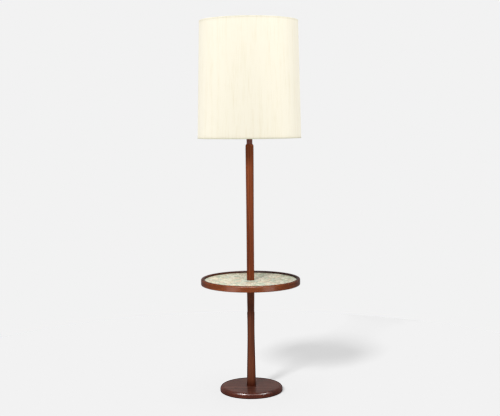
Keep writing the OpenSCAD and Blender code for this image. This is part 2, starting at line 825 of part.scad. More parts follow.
// A piece of harp wire bent to radius r about [x, h], from angle a1 to a2 in the harp's plane
module wire_arc(x, h, r, a1, a2) {
    translate([x, 0, h]) rotate([90, 0, 0]) mirror([0, 0, 1]) rotate([0, 0, a1])
        rotate_extrude(angle = a2 - a1) translate([r, 0]) circle(d = wire_d);
}

// A bead that closes the joint between two stretches of harp wire
module wire_bead(x, h) {
    translate([x, 0, h]) sphere(d = wire_d + fixed_gap);
}

module harp_side() {
    post_top = saddle_t + post_h;
    translate([foot_x, 0, post_top]) cylinder(d = wire_d, h = leg_top_h - post_top);
    wire_bead(foot_x, leg_top_h);
    wire_arc(belly_x - low_arc_r, belly_h, low_arc_r, -low_arc_angle, 0);
    wire_bead(belly_x, belly_h);
    wire_arc(belly_x - high_arc_r, belly_h, high_arc_r, 0, high_arc_angle);
    wire_bead(crown_x + crown_r * cos(high_arc_angle), crown_h - crown_r + crown_r * sin(high_arc_angle));
    wire_arc(crown_x, crown_h - crown_r, crown_r, high_arc_angle, 90);
    wire_bead(crown_x, crown_h);
}

module harp_wire() {
    color([0.75, 0.6, 0.3]) translate([0, 0, saddle_z]) {
        harp_side();
        mirror([1, 0, 0]) harp_side();
        translate([-crown_x, 0, crown_h]) rotate([0, 90, 0]) cylinder(d = wire_d, h = 2 * crown_x);
    }
}

module sleeve(x) {
    color([0.8, 0.65, 0.35]) translate([x, 0, 0])
        tube(sleeve_d / 2, wire_d / 2 + running_gap, saddle_top_z + face_gap, sleeve_len);
}

module harp_sleeve_left() {
    sleeve(-foot_x);
}

module harp_sleeve_right() {
    sleeve(foot_x);
}

module harp_stud() {
    boss_h = 2 * crown_drop;
    color([0.8, 0.65, 0.35]) difference() {
        union() {
            translate([0, 0, seat_z - boss_h]) cylinder(d = seat_d, h = boss_h);
            translate([0, 0, seat_z - EPS]) cylinder(d = stud_d, h = stud_len + EPS);
        }
        translate([-seat_d, 0, saddle_z + crown_h]) rotate([0, 90, 0])
            cylinder(d = wire_d + fixed_gap, h = 2 * seat_d);
    }
}

// ---- Shade ----

// A point of the shade's wall, at a depth inside its outer face and a height
function wall_point(depth, z) = [shade_r(z) - depth, z];

// A tapered shell between two depths and two heights
module wall_shell(depth, t, z1, z2) {
    rotate_extrude() polygon([wall_point(depth, z1), wall_point(depth, z2), wall_point(depth + t, z2),
        wall_point(depth + t, z1)]);
}

module shade_fabric() {
    color([0.98, 0.96, 0.9]) wall_shell(0, cloth_t, shade_z + trim_t, shade_top_z - trim_t);
}

module shade_backing() {
    color([0.97, 0.97, 0.94])
        wall_shell(cloth_t + film_gap, backing_t, shade_z + trim_t, shade_top_z - trim_t);
}

// Trim folded round a rim: a band outside, a web over the edge and a band inside
module rim_trim(edge_z, up) {
    inner = trim_reach;
    far_z = edge_z + up * trim_w;
    web_z = edge_z + up * (trim_t - film_gap);
    rotate_extrude() polygon([wall_point(-trim_t, edge_z), wall_point(-trim_t, far_z),
        wall_point(-film_gap, far_z), wall_point(-film_gap, web_z), wall_point(inner, web_z),
        wall_point(inner, far_z), wall_point(inner + trim_t, far_z), wall_point(inner + trim_t, edge_z)]);
}

module shade_top_trim() {
    color([0.93, 0.9, 0.82]) difference() {
        rim_trim(shade_top_z, -1);
        // Notches where the carrier's arms pass
        on_circle(carrier_arms, carrier_ring_r - arm_bend_r, 90)
            translate([0, -ring_r - fixed_gap, shade_top_z - trim_w - EPS])
                cube([arm_bend_r, 2 * (ring_r + fixed_gap), trim_w + EPS - trim_t]);
    }
}

module shade_bottom_trim() {
    color([0.93, 0.9, 0.82]) rim_trim(shade_z, 1);
}

carrier_ring_z = shade_top_z - ring_depth;
carrier_ring_r = shade_r(carrier_ring_z) - ring_inset;

module ring(r, z) {
    translate([0, 0, z]) rotate_extrude() translate([r, 0]) circle(d = ring_wire_d);
}

// One arm: down from the ring, round a bend and in to the washer
module carrier_arm() {
    arm_z = carrier_z + carrier_washer_t - fixed_gap - ring_r;
    arm_x = carrier_ring_r - ring_r;
    arm_root = seat_d / 2 + ring_r + fixed_gap;
    translate([arm_x, 0, arm_z + arm_bend_r])
        cylinder(d = ring_wire_d, h = carrier_ring_z - arm_z - arm_bend_r);
    translate([arm_x - arm_bend_r, 0, arm_z + arm_bend_r]) rotate([90, 0, 0]) rotate([0, 0, -90])
        rotate_extrude(angle = 90) translate([arm_bend_r, 0]) circle(d = ring_wire_d);
    translate([arm_root, 0, arm_z]) rotate([0, 90, 0])
        cylinder(d = ring_wire_d, h = arm_x - arm_bend_r - arm_root);
}

module shade_carrier() {
    color([0.8, 0.8, 0.78]) {
        ring(carrier_ring_r, carrier_ring_z);
        on_circle(carrier_arms, 0, 90) carrier_arm();
        tube(carrier_washer_d / 2, stud_d / 2 + running_gap, carrier_z, carrier_washer_t);
    }
}

module shade_bottom_ring() {
    color([0.8, 0.8, 0.78]) {
        z = shade_z + ring_depth;
        ring(shade_r(z) - ring_inset, z);
    }
}

insert_flange_t = 1.5;
insert_wall = 1.5;
insert_len = stud_len + 1;
finial_foot_r = finial_d / 2 - 2;

module finial_insert() {
    color([0.8, 0.65, 0.35]) translate([0, 0, finial_z]) difference() {
        union() {
            cylinder(r = finial_foot_r, h = insert_flange_t);
            cylinder(r = stud_d / 2 + insert_wall, h = insert_len);
        }
        bore(stud_d / 2 + running_gap, 0, insert_len);
    }
}

module finial_knob() {
    bulge_h = finial_h / 3;
    top_r = finial_d / 2 - 3;
    color([0.42, 0.22, 0.14]) translate([0, 0, finial_z + insert_flange_t]) difference() {
        union() {
            cylinder(r1 = finial_foot_r, r2 = finial_d / 2, h = bulge_h);
            translate([0, 0, bulge_h]) cylinder(r1 = finial_d / 2, r2 = top_r, h = finial_h - bulge_h);
        }
        bore(stud_d / 2 + insert_wall + fixed_gap, 0, insert_len - insert_flange_t + fixed_gap);
    }
}

base_felt();
base_disc();
base_ballast();
ballast_screws_set();
base_washer();
base_nut();
cord_bushing();
lower_column();
lower_rod();
table_hub();
table_hub_screws();
table_panel();
table_rim();
grout_bed();
mosaic_tiles();
table_washer();
table_nut();
rod_coupling();
upper_column();
upper_rod();
neck();
neck_plate();
neck_nut();
harp_saddle();
socket_cap();
socket_core();
socket_contact();
socket_liner();
socket_insulator();
socket_shell();
terminal_screws();
switch_key();
bulb_cap();
bulb_glass();
bulb_stem();
bulb_filament();
harp_wire();
harp_sleeve_left();
harp_sleeve_right();
harp_stud();
shade_fabric();
shade_backing();
shade_top_trim();
shade_bottom_trim();
shade_carrier();
shade_bottom_ring();
finial_knob();
finial_insert();
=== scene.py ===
"""Looks of a floor lamp with a round mosaic table: reddish lacquered walnut, pale glazed tiles and a
tall drum shade of cream slub fabric. All lengths are in metres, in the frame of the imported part."""

import json
import math
import random

import bmesh
import bpy
from mathutils import Matrix, Vector


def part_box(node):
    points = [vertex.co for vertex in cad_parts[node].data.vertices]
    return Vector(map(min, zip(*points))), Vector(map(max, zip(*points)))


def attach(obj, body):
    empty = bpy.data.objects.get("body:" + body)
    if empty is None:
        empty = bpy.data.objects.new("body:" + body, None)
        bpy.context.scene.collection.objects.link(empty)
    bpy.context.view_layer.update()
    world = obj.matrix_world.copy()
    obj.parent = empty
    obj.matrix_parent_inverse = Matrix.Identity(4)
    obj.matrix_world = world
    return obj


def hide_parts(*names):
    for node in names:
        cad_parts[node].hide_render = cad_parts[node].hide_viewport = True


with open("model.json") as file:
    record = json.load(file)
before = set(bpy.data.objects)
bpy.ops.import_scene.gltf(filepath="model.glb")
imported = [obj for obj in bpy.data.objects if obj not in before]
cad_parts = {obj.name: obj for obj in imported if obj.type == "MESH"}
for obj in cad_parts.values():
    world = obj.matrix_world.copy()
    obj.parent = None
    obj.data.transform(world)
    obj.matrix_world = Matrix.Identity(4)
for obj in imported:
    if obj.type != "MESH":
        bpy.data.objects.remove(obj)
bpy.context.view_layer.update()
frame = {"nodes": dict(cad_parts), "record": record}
NODES = frame["nodes"]
MM = 0.001


# ---- Camera ----

CAMERA_DISTANCE = 3.758
CAMERA_HEIGHT = 1.072
CAMERA_TILT = 0.0891
CAMERA_ROLL = 0.0082
CAMERA_LENS_MM = 68.75
SENSOR_MM = 36.0


def make_camera():
    """A camera in front of the lamp, a little above its middle and tilted slightly down."""
    data = bpy.data.cameras.new("camera")
    data.lens = CAMERA_LENS_MM
    data.sensor_width = SENSOR_MM
    data.sensor_fit = "HORIZONTAL"
    camera = bpy.data.objects.new("camera", data)
    bpy.context.scene.collection.objects.link(camera)
    turn = Matrix.Rotation(math.pi / 2 - CAMERA_TILT, 4, "X") @ Matrix.Rotation(-CAMERA_ROLL, 4, "Z")
    camera.matrix_world = Matrix.Translation((0, -CAMERA_DISTANCE, CAMERA_HEIGHT)) @ turn
    bpy.context.scene.camera = camera


# ---- Building blocks of the materials ----

def srgb(red, green, blue):
    """A linear colour with full alpha, from 0 to 255 display values."""
    def linear(value):
        value /= 255
        return value / 12.92 if value <= 0.04045 else ((value + 0.055) / 1.055) ** 2.4
    return (linear(red), linear(green), linear(blue), 1.0)


def add(tree, kind, inputs=None, **settings):
    """Adds a node to the tree. inputs holds numbers, colours or other nodes' outputs by input name."""
    node = tree.nodes.new(kind)
    for key, value in settings.items():
        setattr(node, key, value)
    for key, value in (inputs or {}).items():
        if isinstance(value, bpy.types.NodeSocket):
            tree.links.new(value, node.inputs[key])
        else:
            node.inputs[key].default_value = value
    return node


def sums(tree, operation, first, second=0.0, third=0.0):
    """The output of a Math node."""
    return add(tree, "ShaderNodeMath", {0: first, 1: second, 2: third}, operation=operation).outputs[0]


def scaled(tree, vector, factors):
    """A vector times one factor for each axis."""
    return add(tree, "ShaderNodeVectorMath", {0: vector, 1: factors}, operation="MULTIPLY").outputs[0]


def shifted(tree, vector, offset):
    """A vector plus an offset, which may be a vector or another node's output."""
    return add(tree, "ShaderNodeVectorMath", {0: vector, 1: offset}, operation="ADD").outputs[0]


def noise_at(tree, vector, scale, detail=3.0, roughness=0.55):
    """A grey noise value from 0 to 1 at a point."""
    inputs = {"Vector": vector, "Scale": scale, "Detail": detail, "Roughness": roughness}
    return add(tree, "ShaderNodeTexNoise", inputs).outputs["Fac"]


def ramp(tree, factor, stops):
    """A colour ramp through (position, colour) stops."""
    node = add(tree, "ShaderNodeValToRGB", {"Fac": factor})
    elements = node.color_ramp.elements
    while len(elements) < len(stops):
        elements.new(0.5)
    for element, (position, colour) in zip(elements, stops):
        element.position = position
        element.color = colour
    return node.outputs["Color"]


def blend(tree, factor, first, second, mode="MIX"):
    """A mix of two colours."""
    node = add(tree, "ShaderNodeMix", data_type="RGBA", blend_type=mode)
    for key, value in ((0, factor), (6, first), (7, second)):
        if isinstance(value, bpy.types.NodeSocket):
            tree.links.new(value, node.inputs[key])
        else:
            node.inputs[key].default_value = value
    return node.outputs[2]


def span(tree, value, low, high, out_low=0.0, out_high=1.0):
    """A value moved from one range to another and kept inside it."""
    inputs = {"Value": value, "From Min": low, "From Max": high, "To Min": out_low, "To Max": out_high}
    return add(tree, "ShaderNodeMapRange", inputs).outputs["Result"]


def bumped(tree, height, distance, strength=1.0):
    """A normal bent by a height, whose full range stands for the distance in metres."""
    inputs = {"Height": height, "Distance": distance, "Strength": strength}
    return add(tree, "ShaderNodeBump", inputs).outputs["Normal"]


def position(tree):
    """The point on the object, in the object's own coordinates."""
    return add(tree, "ShaderNodeTexCoord").outputs["Object"]


def parts_of(tree, vector):
    """The x, y and z outputs of a vector."""
    return add(tree, "ShaderNodeSeparateXYZ", {0: vector}).outputs


def joined(tree, x, y, z):
    """A vector from three values."""
    return add(tree, "ShaderNodeCombineXYZ", {0: x, 1: y, 2: z}).outputs[0]


def radius_of(tree, x, y):
    """The distance from the upright axis."""
    return sums(tree, "SQRT", sums(tree, "ADD", sums(tree, "MULTIPLY", x, x), sums(tree, "MULTIPLY", y, y)))


def angle_of(tree, x, y):
    """The angle round the upright axis, which is 0 at the front."""
    return sums(tree, "ARCTAN2", x, sums(tree, "MULTIPLY", y, -1.0))


def material(name, **uniform):
    """A new material, its node tree and its shader, with the values that are the same all over."""
    new = bpy.data.materials.new(name)
    new.use_nodes = True
    shader = new.node_tree.nodes["Principled BSDF"]
    for key, value in uniform.items():
        shader.inputs[key.replace("_", " ")].default_value = value
    return new, new.node_tree, shader


def connect(tree, shader, **outputs):
    """Joins outputs to the shader's inputs."""
    for key, value in outputs.items():
        tree.links.new(value, shader.inputs[key.replace("_", " ")])


# ---- Wood ----

PITH_OFFSET = Vector((0.052, 0.031, 0.0))
BOARD_WIDTH = 0.084
STAVES = 6
RIM_RADIUS = 0.19
PORE_DEPTH = 0.06 * MM


def upright_grain(tree):
    """Grain that runs up the column."""
    return position(tree)


def board_grain(tree):
    """Grain that runs from side to side, through boards glued edge to edge."""
    x, y, z = parts_of(tree, position(tree))
    board = sums(tree, "FLOOR", sums(tree, "DIVIDE", sums(tree, "ADD", y, BOARD_WIDTH / 2), BOARD_WIDTH))
    across = sums(tree, "MULTIPLY_ADD", board, 0.37, y)
    along = sums(tree, "MULTIPLY_ADD", board, 1.7, x)
    return joined(tree, across, z, along)


def round_grain(tree):
    """Grain that follows a ring of curved staves."""
    x, y, z = parts_of(tree, position(tree))
    angle = angle_of(tree, x, y)
    radius = radius_of(tree, x, y)
    stave = sums(tree, "FLOOR", sums(tree, "DIVIDE", sums(tree, "ADD", angle, math.pi), 2 * math.pi / STAVES))
    across = sums(tree, "MULTIPLY_ADD", stave, 0.21, radius)
    along = sums(tree, "MULTIPLY_ADD", stave, 1.3, sums(tree, "MULTIPLY", angle, RIM_RADIUS))
    return joined(tree, across, z, along)


def wood(name, grain, dark, middle, light, lacquer, lacquer_roughness=0.12, tint=None):
    """Lacquered walnut: soft growth rings, fine fibres, short dark pores and broad changes of tone.
    tint(tree, colour) may change the colour by place."""
    new, tree, shader = material(name, Coat_Weight=lacquer, Coat_Roughness=lacquer_roughness, Coat_IOR=1.5,
                                 Specular_IOR_Level=0.0)
    point = grain(tree)
    sway = noise_at(tree, scaled(tree, point, (11, 11, 1.1)), 1.0, 3.0)
    x, y, z = parts_of(tree, shifted(tree, point, PITH_OFFSET))
    ring = sums(tree, "MULTIPLY_ADD", sway, 0.045, radius_of(tree, x, y))
    rings = joined(tree, sums(tree, "MULTIPLY", ring, 260), 0.0, sums(tree, "MULTIPLY", z, 1.5))
    bands = noise_at(tree, rings, 1.0, 4.0, 0.62)
    fibres = noise_at(tree, scaled(tree, point, (1100, 1100, 14)), 1.0, 3.0, 0.6)
    broad = noise_at(tree, scaled(tree, point, (26, 26, 2.2)), 1.0, 3.0)
    tone = sums(tree, "MULTIPLY_ADD", bands, 0.5, sums(tree, "MULTIPLY", fibres, 0.25))
    tone = sums(tree, "MULTIPLY_ADD", broad, 0.4, tone)
    colour = ramp(tree, span(tree, tone, 0.38, 0.78), [(0.0, dark), (0.5, middle), (1.0, light)])
    specks = noise_at(tree, scaled(tree, point, (2300, 2300, 90)), 1.0, 2.0, 0.4)
    pores = span(tree, specks, 0.6, 0.72)
    colour = blend(tree, sums(tree, "MULTIPLY", pores, 0.55), colour, dark)
    if tint:
        colour = tint(tree, colour)
    rough = span(tree, fibres, 0.3, 0.7, 0.35, 0.46)
    relief = sums(tree, "MULTIPLY_ADD", pores, -0.6, sums(tree, "MULTIPLY", fibres, 0.4))
    normal = bumped(tree, relief, PORE_DEPTH, 0.5)
    connect(tree, shader, Base_Color=colour, Roughness=rough, Normal=normal)
    return new


# Where a tone starts and where it ends, and its share at each of the two where that isn't 0 and 1.
# On the column by height:
NEAR_TABLE_TOP = (0.46, 0.7, 0.5, 0.0)
BELOW_TABLE = (0.425, 0.415, 0.0, 0.3)
# Painted shadow of the table on the column:
PAINTED_TABLE_SHADOW_LOW = (0.27, 0.33)
PAINTED_TABLE_SHADOW_HIGH = (0.345, 0.365, 1.0, 0.0)
# Painted shade at the foot of the column:
PAINTED_FOOT_SHADE = (0.03, 0.1, 1.0, 0.0)
PAINTED_FOOT_EDGE_SHADE = (0.026, 0.05, 1.0, 0.0)
# Painted shade on the rim, by distance to the side, by depth from front to back, and by radius:
RIM_SIDES = (0.09, 0.19, 0.0, 0.8)
RIM_ENDS = (0.17, 0.197)
RIM_BACK = (-0.05, 0.2, 0.6, 1.0)
RIM_INSIDE = (0.192, 0.1955, 1.0, 0.0)
# Painted light on the base, by radius:
BASE_EDGE = (0.109, 0.115)


def column_tone_and_painted_shade(tree, colour):
    """The wood deepens a little from the middle of the upper column towards the table, and is duller below
    it.
    Painted shadow of the table darkens a band below it, and painted shade darkens the foot where it meets the
    base."""
    _, _, z = parts_of(tree, position(tree))
    colour = blend(tree, span(tree, z, *NEAR_TABLE_TOP), colour, srgb(176, 160, 164), "MULTIPLY")
    colour = blend(tree, span(tree, z, *BELOW_TABLE), colour, srgb(118, 84, 68))
    # Painted shadow of the table, in a band below it
    band = sums(tree, "MULTIPLY", span(tree, z, *PAINTED_TABLE_SHADOW_LOW), span(tree, z, *PAINTED_TABLE_SHADOW_HIGH))
    colour = blend(tree, band, colour, srgb(232, 236, 242), "MULTIPLY")
    # Painted shade at the foot, where the column meets the base
    colour = blend(tree, span(tree, z, *PAINTED_FOOT_SHADE), colour, srgb(220, 214, 214), "MULTIPLY")
    return blend(tree, span(tree, z, *PAINTED_FOOT_EDGE_SHADE), colour, srgb(186, 160, 150), "MULTIPLY")


def rim_painted_shade(tree, colour):
    """Painted shade: the rim is darker towards its sides and more at its ends, and inside along the tiles,
    most so at the back."""
    x, y, _ = parts_of(tree, position(tree))
    sideways = sums(tree, "ABSOLUTE", x)
    # Painted shade towards the sides and the ends
    colour = blend(tree, span(tree, sideways, *RIM_SIDES), colour, srgb(206, 198, 202), "MULTIPLY")
    colour = blend(tree, span(tree, sideways, *RIM_ENDS), colour, srgb(208, 200, 222), "MULTIPLY")
    # Painted shade inside along the tiles, most at the back
    depth = span(tree, sums(tree, "MULTIPLY_ADD", x, 0.8, y), *RIM_BACK)
    painted_shade = sums(tree, "MULTIPLY", span(tree, radius_of(tree, x, y), *RIM_INSIDE), depth)
    return blend(tree, painted_shade, colour, srgb(112, 92, 108), "MULTIPLY")


def base_painted_light(tree, colour):
    """Painted light: the rounded edge of the base is darker and redder, as painted shade, and the flat top a
    touch less red, as a painted bluish sheen.
    """
    x, y, _ = parts_of(tree, position(tree))
    edge = span(tree, radius_of(tree, x, y), *BASE_EDGE)
    # Painted shade on the rounded edge, painted bluish sheen on the flat top
    painted_light = blend(tree, edge, srgb(246, 254, 255), srgb(230, 206, 198))
    return blend(tree, 1.0, colour, painted_light, "MULTIPLY")


# ---- Other materials ----

# How far above the lower rim the painted shade along the fold is full, and where it ends
FOLD_SHADE_FULL = 3.2 * MM
FOLD_SHADE_END = 4.8 * MM
# Distances between the cloth's yarns, and how far its slubs stand out
WARP_PITCH = 0.55 * MM
WEFT_PITCH = 0.6 * MM
SLUB_DEPTH = 0.22 * MM
SHADE_RADIUS = 0.2
PLY_LAYER = 3 * MM


def fold_painted_shade(tree, colour):
    """Painted shade: the lower rim of the shade is darker along its fold, which faces down."""
    _, _, z = parts_of(tree, position(tree))
    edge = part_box("shade_bottom_trim")[0].z
    # Painted shade along the fold
    fold_shade = span(tree, z, edge + FOLD_SHADE_FULL, edge + FOLD_SHADE_END, 1.0, 0.0)
    return blend(tree, fold_shade, colour, srgb(226, 228, 222), "MULTIPLY")


def tile_glaze():
    """Pale glazes with soft mottling. Each tile's own tone comes with the mesh."""
    new, tree, shader = material("tile_glaze", Coat_Weight=0.22, Coat_Roughness=0.08, Coat_IOR=1.5,
                                 Specular_IOR_Level=0.0)
    point = position(tree)
    tone = add(tree, "ShaderNodeAttribute", attribute_name="tile_tone").outputs["Color"]
    edge = add(tree, "ShaderNodeAttribute", attribute_name="tile_edge").outputs["Fac"]
    mottle = noise_at(tree, point, 260.0, 4.0, 0.65)
    fine = noise_at(tree, point, 1500.0, 3.0)
    colour = blend(tree, span(tree, mottle, 0.35, 0.7, 0.0, 0.45), tone, srgb(236, 232, 208))
    colour = blend(tree, span(tree, fine, 0.62, 0.75, 0.0, 0.35), colour, srgb(150, 150, 128))
    colour = blend(tree, sums(tree, "MULTIPLY", edge, 0.5), colour, srgb(146, 138, 112))
    connect(tree, shader, Base_Color=colour, Roughness=span(tree, mottle, 0.3, 0.7, 0.16, 0.34),
            Normal=bumped(tree, mottle, 0.25 * MM, 0.6))
    return new


def grout():
    """Sandy cement with darker grains."""
    new, tree, shader = material("grout", Specular_IOR_Level=0.3)
    point = position(tree)
    sand = noise_at(tree, point, 1800.0, 4.0, 0.7)
    cloud = noise_at(tree, point, 60.0, 3.0)
    colour = blend(tree, span(tree, sand, 0.3, 0.75), srgb(176, 168, 146), srgb(206, 198, 178))
    colour = blend(tree, span(tree, cloud, 0.4, 0.75, 0.0, 0.4), colour, srgb(160, 150, 128))
    connect(tree, shader, Base_Color=colour, Roughness=span(tree, sand, 0.3, 0.7, 0.75, 0.95),
            Normal=bumped(tree, sand, 0.3 * MM))
    return new


def slub_cloth(name, light, dark, tint=None):
    """Fabric woven with upright slub yarns: uneven upright streaks over a fine square weave."""
    new, tree, shader = material(name, Sheen_Weight=0.25, Sheen_Roughness=0.5, Specular_IOR_Level=0.2)
    x, y, z = parts_of(tree, position(tree))
    around = sums(tree, "MULTIPLY", angle_of(tree, x, y), SHADE_RADIUS)
    cloth = joined(tree, around, z, 0.0)
    slubs = noise_at(tree, scaled(tree, cloth, (420, 16, 1)), 1.0, 3.0, 0.6)
    wide = noise_at(tree, scaled(tree, cloth, (60, 3.5, 1)), 1.0, 3.0, 0.6)
    weft = noise_at(tree, scaled(tree, cloth, (30, 900, 1)), 1.0, 2.0)
    warp_wave = sums(tree, "SINE", sums(tree, "MULTIPLY", around, 2 * math.pi / WARP_PITCH))
    weft_wave = sums(tree, "SINE", sums(tree, "MULTIPLY", z, 2 * math.pi / WEFT_PITCH))
    weave = sums(tree, "MULTIPLY", warp_wave, weft_wave)
    tone = sums(tree, "MULTIPLY_ADD", slubs, 0.5, sums(tree, "MULTIPLY", wide, 0.5))
    tone = sums(tree, "MULTIPLY_ADD", weft, 0.12, tone)
    colour = ramp(tree, span(tree, tone, 0.38, 0.72), [(0.0, dark), (0.55, light), (1.0, light)])
    if tint:
        colour = tint(tree, colour)
    relief = sums(tree, "MULTIPLY_ADD", slubs, 1.0, sums(tree, "MULTIPLY", weave, 0.12))
    connect(tree, shader, Base_Color=colour, Roughness=span(tree, slubs, 0.3, 0.7, 0.82, 0.95),
            Normal=bumped(tree, relief, SLUB_DEPTH, 0.7))
    return new


def felt():
    """Dense wool felt."""
    new, tree, shader = material("felt", Sheen_Weight=0.6, Sheen_Roughness=0.4, Roughness=0.95)
    point = position(tree)
    fuzz = noise_at(tree, point, 2600.0, 5.0, 0.75)
    cloud = noise_at(tree, point, 140.0, 3.0)
    colour = blend(tree, fuzz, srgb(38, 42, 36), srgb(74, 78, 68))
    colour = blend(tree, span(tree, cloud, 0.3, 0.8, 0.0, 0.3), colour, srgb(30, 32, 28))
    connect(tree, shader, Base_Color=colour, Normal=bumped(tree, fuzz, 0.4 * MM))
    return new


def metal(name, base, shadow, roughness):
    """Brushed or turned metal with slight toning."""
    new, tree, shader = material(name, Metallic=1.0)
    point = position(tree)
    lines = noise_at(tree, scaled(tree, point, (700, 700, 60)), 1.0, 4.0, 0.7)
    cloud = noise_at(tree, point, 90.0, 3.0)
    colour = blend(tree, span(tree, cloud, 0.35, 0.8, 0.0, 0.55), base, shadow)
    rough = span(tree, lines, 0.25, 0.75, roughness * 0.8, roughness * 1.3)
    connect(tree, shader, Base_Color=colour, Roughness=rough, Normal=bumped(tree, lines, 0.02 * MM, 0.4))
    return new


def moulded(name, colour_a, colour_b, roughness, grain=1500.0, depth=0.03):
    """Moulded plastic, rubber, card or paint: two close tones and a fine surface, whose depth is in
    millimetres."""
    new, tree, shader = material(name)
    point = position(tree)
    fine = noise_at(tree, point, grain, 4.0, 0.6)
    cloud = noise_at(tree, point, 45.0, 3.0)
    tone = sums(tree, "MULTIPLY_ADD", cloud, 0.6, sums(tree, "MULTIPLY", fine, 0.4))
    colour = blend(tree, tone, colour_a, colour_b)
    rough = span(tree, fine, 0.25, 0.75, roughness * 0.85, min(1.0, roughness * 1.15))
    connect(tree, shader, Base_Color=colour, Roughness=rough, Normal=bumped(tree, fine, depth * MM))
    return new


def plywood():
    """Sanded birch ply, with its layers on the edge."""
    new, tree, shader = material("plywood", Specular_IOR_Level=0.3)
    point = position(tree)
    _, _, z = parts_of(tree, point)
    fibres = noise_at(tree, scaled(tree, point, (18, 900, 900)), 1.0, 4.0, 0.6)
    cloud = noise_at(tree, scaled(tree, point, (5, 40, 40)), 1.0, 3.0)
    tone = sums(tree, "MULTIPLY_ADD", cloud, 0.5, sums(tree, "MULTIPLY", fibres, 0.5))
    stops = [(0.25, srgb(150, 112, 70)), (0.55, srgb(190, 152, 104)), (0.8, srgb(212, 180, 134))]
    colour = ramp(tree, tone, stops)
    layer = sums(tree, "PINGPONG", sums(tree, "DIVIDE", z, PLY_LAYER), 1.0)
    colour = blend(tree, span(tree, layer, 0.5, 0.8, 0.0, 0.25), colour, srgb(120, 84, 50))
    connect(tree, shader, Base_Color=colour, Roughness=span(tree, fibres, 0.3, 0.7, 0.6, 0.8),
            Normal=bumped(tree, fibres, 0.08 * MM))
    return new


def opal_glass():
    """Glass with a white coating inside."""
    new, tree, shader = material("opal_glass", Coat_Weight=0.8, Coat_Roughness=0.03, Subsurface_Weight=0.2,
                                 Subsurface_Scale=0.01)
    cloud = noise_at(tree, position(tree), 70.0, 3.0)
    colour = blend(tree, cloud, srgb(238, 238, 232), srgb(247, 247, 243))
    connect(tree, shader, Base_Color=colour, Roughness=span(tree, cloud, 0.3, 0.7, 0.25, 0.4))
    return new


def clear_glass():
    """Clear glass with faint ripples."""
    new, tree, shader = material("clear_glass", Transmission_Weight=1.0, IOR=1.5, Roughness=0.02)
    ripple = noise_at(tree, position(tree), 120.0, 2.0)
    connect(tree, shader, Base_Color=blend(tree, ripple, srgb(232, 240, 240), srgb(246, 250, 250)),
            Normal=bumped(tree, ripple, 0.05 * MM, 0.5))
    return new


def make_materials():
    """The material of each slot in the record."""
    return {
        "walnut_base": wood("walnut_base", board_grain, srgb(56, 29, 23), srgb(96, 52, 40),
                            srgb(119, 70, 54), lacquer=0.27, lacquer_roughness=0.27, tint=base_painted_light),
        "walnut_column": wood("walnut_column", upright_grain, srgb(92, 42, 24), srgb(152, 79, 46),
                              srgb(182, 103, 62), lacquer=0.1, tint=column_tone_and_painted_shade),
        "walnut_rim": wood("walnut_rim", round_grain, srgb(90, 40, 20), srgb(144, 74, 38),
                           srgb(170, 96, 54), lacquer=0.22, lacquer_roughness=0.26, tint=rim_painted_shade),
        "walnut_neck": wood("walnut_neck", upright_grain, srgb(100, 58, 50), srgb(142, 90, 82),
                            srgb(168, 114, 102), lacquer=0.12, lacquer_roughness=0.25),
        "tile_glaze": tile_glaze(),
        "grout": grout(),
        "slub_fabric": slub_cloth("slub_fabric", srgb(250, 244, 225), srgb(243, 235, 211)),
        "trim_fabric": slub_cloth("trim_fabric", srgb(243, 237, 216), srgb(232, 224, 200), tint=fold_painted_shade),
        "felt": felt(),
        "plywood": plywood(),
        "brass": metal("brass", srgb(214, 176, 104), srgb(168, 124, 62), 0.24),
        "steel": metal("steel", srgb(188, 188, 184), srgb(140, 140, 138), 0.34),
        "iron": metal("iron", srgb(70, 70, 72), srgb(44, 44, 46), 0.6),
        "bulb_metal": metal("bulb_metal", srgb(205, 205, 203), srgb(172, 172, 170), 0.28),
        "black_rubber": moulded("black_rubber", srgb(26, 26, 26), srgb(40, 40, 40), 0.6),
        "phenolic": moulded("phenolic", srgb(20, 17, 15), srgb(34, 28, 25), 0.3),
        "fibre_card": moulded("fibre_card", srgb(150, 122, 84), srgb(176, 148, 106), 0.85, 900.0, 0.06),
        "styrene": moulded("styrene", srgb(240, 238, 228), srgb(246, 244, 236), 0.6, 700.0, 0.02),
        "white_wire": moulded("white_wire", srgb(226, 225, 218), srgb(236, 235, 230), 0.4),
        "opal_glass": opal_glass(),
        "clear_glass": clear_glass(),
    }


def dress(materials):
    """Gives each CAD node the material of its slot."""
    for part in frame["record"]["subparts"]:
        node = NODES[part["node"]]
        node.data.materials.clear()
        node.data.materials.append(materials[part["material_slot"]])


# ---- Meshes ----

# How far a corner may be from a height and still count as near it
NEAR = 1.5 * MM


def new_piece(name, verts, faces, finish, body):
    """A mesh object that rides on a body and takes its finish from a slot."""
    mesh = bpy.data.meshes.new(name)
    mesh.from_pydata(verts, [], faces)
    mesh.update()
    piece = bpy.data.objects.new(name, mesh)
    bpy.context.scene.collection.objects.link(piece)
    mesh.materials.append(finish)
    for face in mesh.polygons:
        face.use_smooth = True
    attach(piece, body)
    return piece


def radius_near(node, height, outer=True):
    """The largest or smallest distance from the axis of a CAD node's corners near a height."""
    found = [math.hypot(v.co.x, v.co.y) for v in NODES[node].data.vertices if abs(v.co.z - height) < NEAR]
    return max(found) if outer else min(found)


def turned(name, outline, angles, finish, body, wave=None):
    """A closed band of revolution from a closed outline of (radius, height) points.
    wave(angle, index) gives an extra radius and height for an outline point."""
    verts = []
    steps = len(angles)
    for angle in angles:
        for k, (radius, height) in enumerate(outline):
            extra_r, extra_z = wave(angle, k) if wave else (0.0, 0.0)
            r = radius + extra_r
            verts.append((r * math.sin(angle), -r * math.cos(angle), height + extra_z))
    n = len(outline)
    faces = [(i * n + k, ((i + 1) % steps) * n + k, ((i + 1) % steps) * n + (k + 1) % n, i * n + (k + 1) % n)
             for i in range(steps) for k in range(n)]
    return new_piece(name, verts, faces, finish, body)


# ---- Shade ----

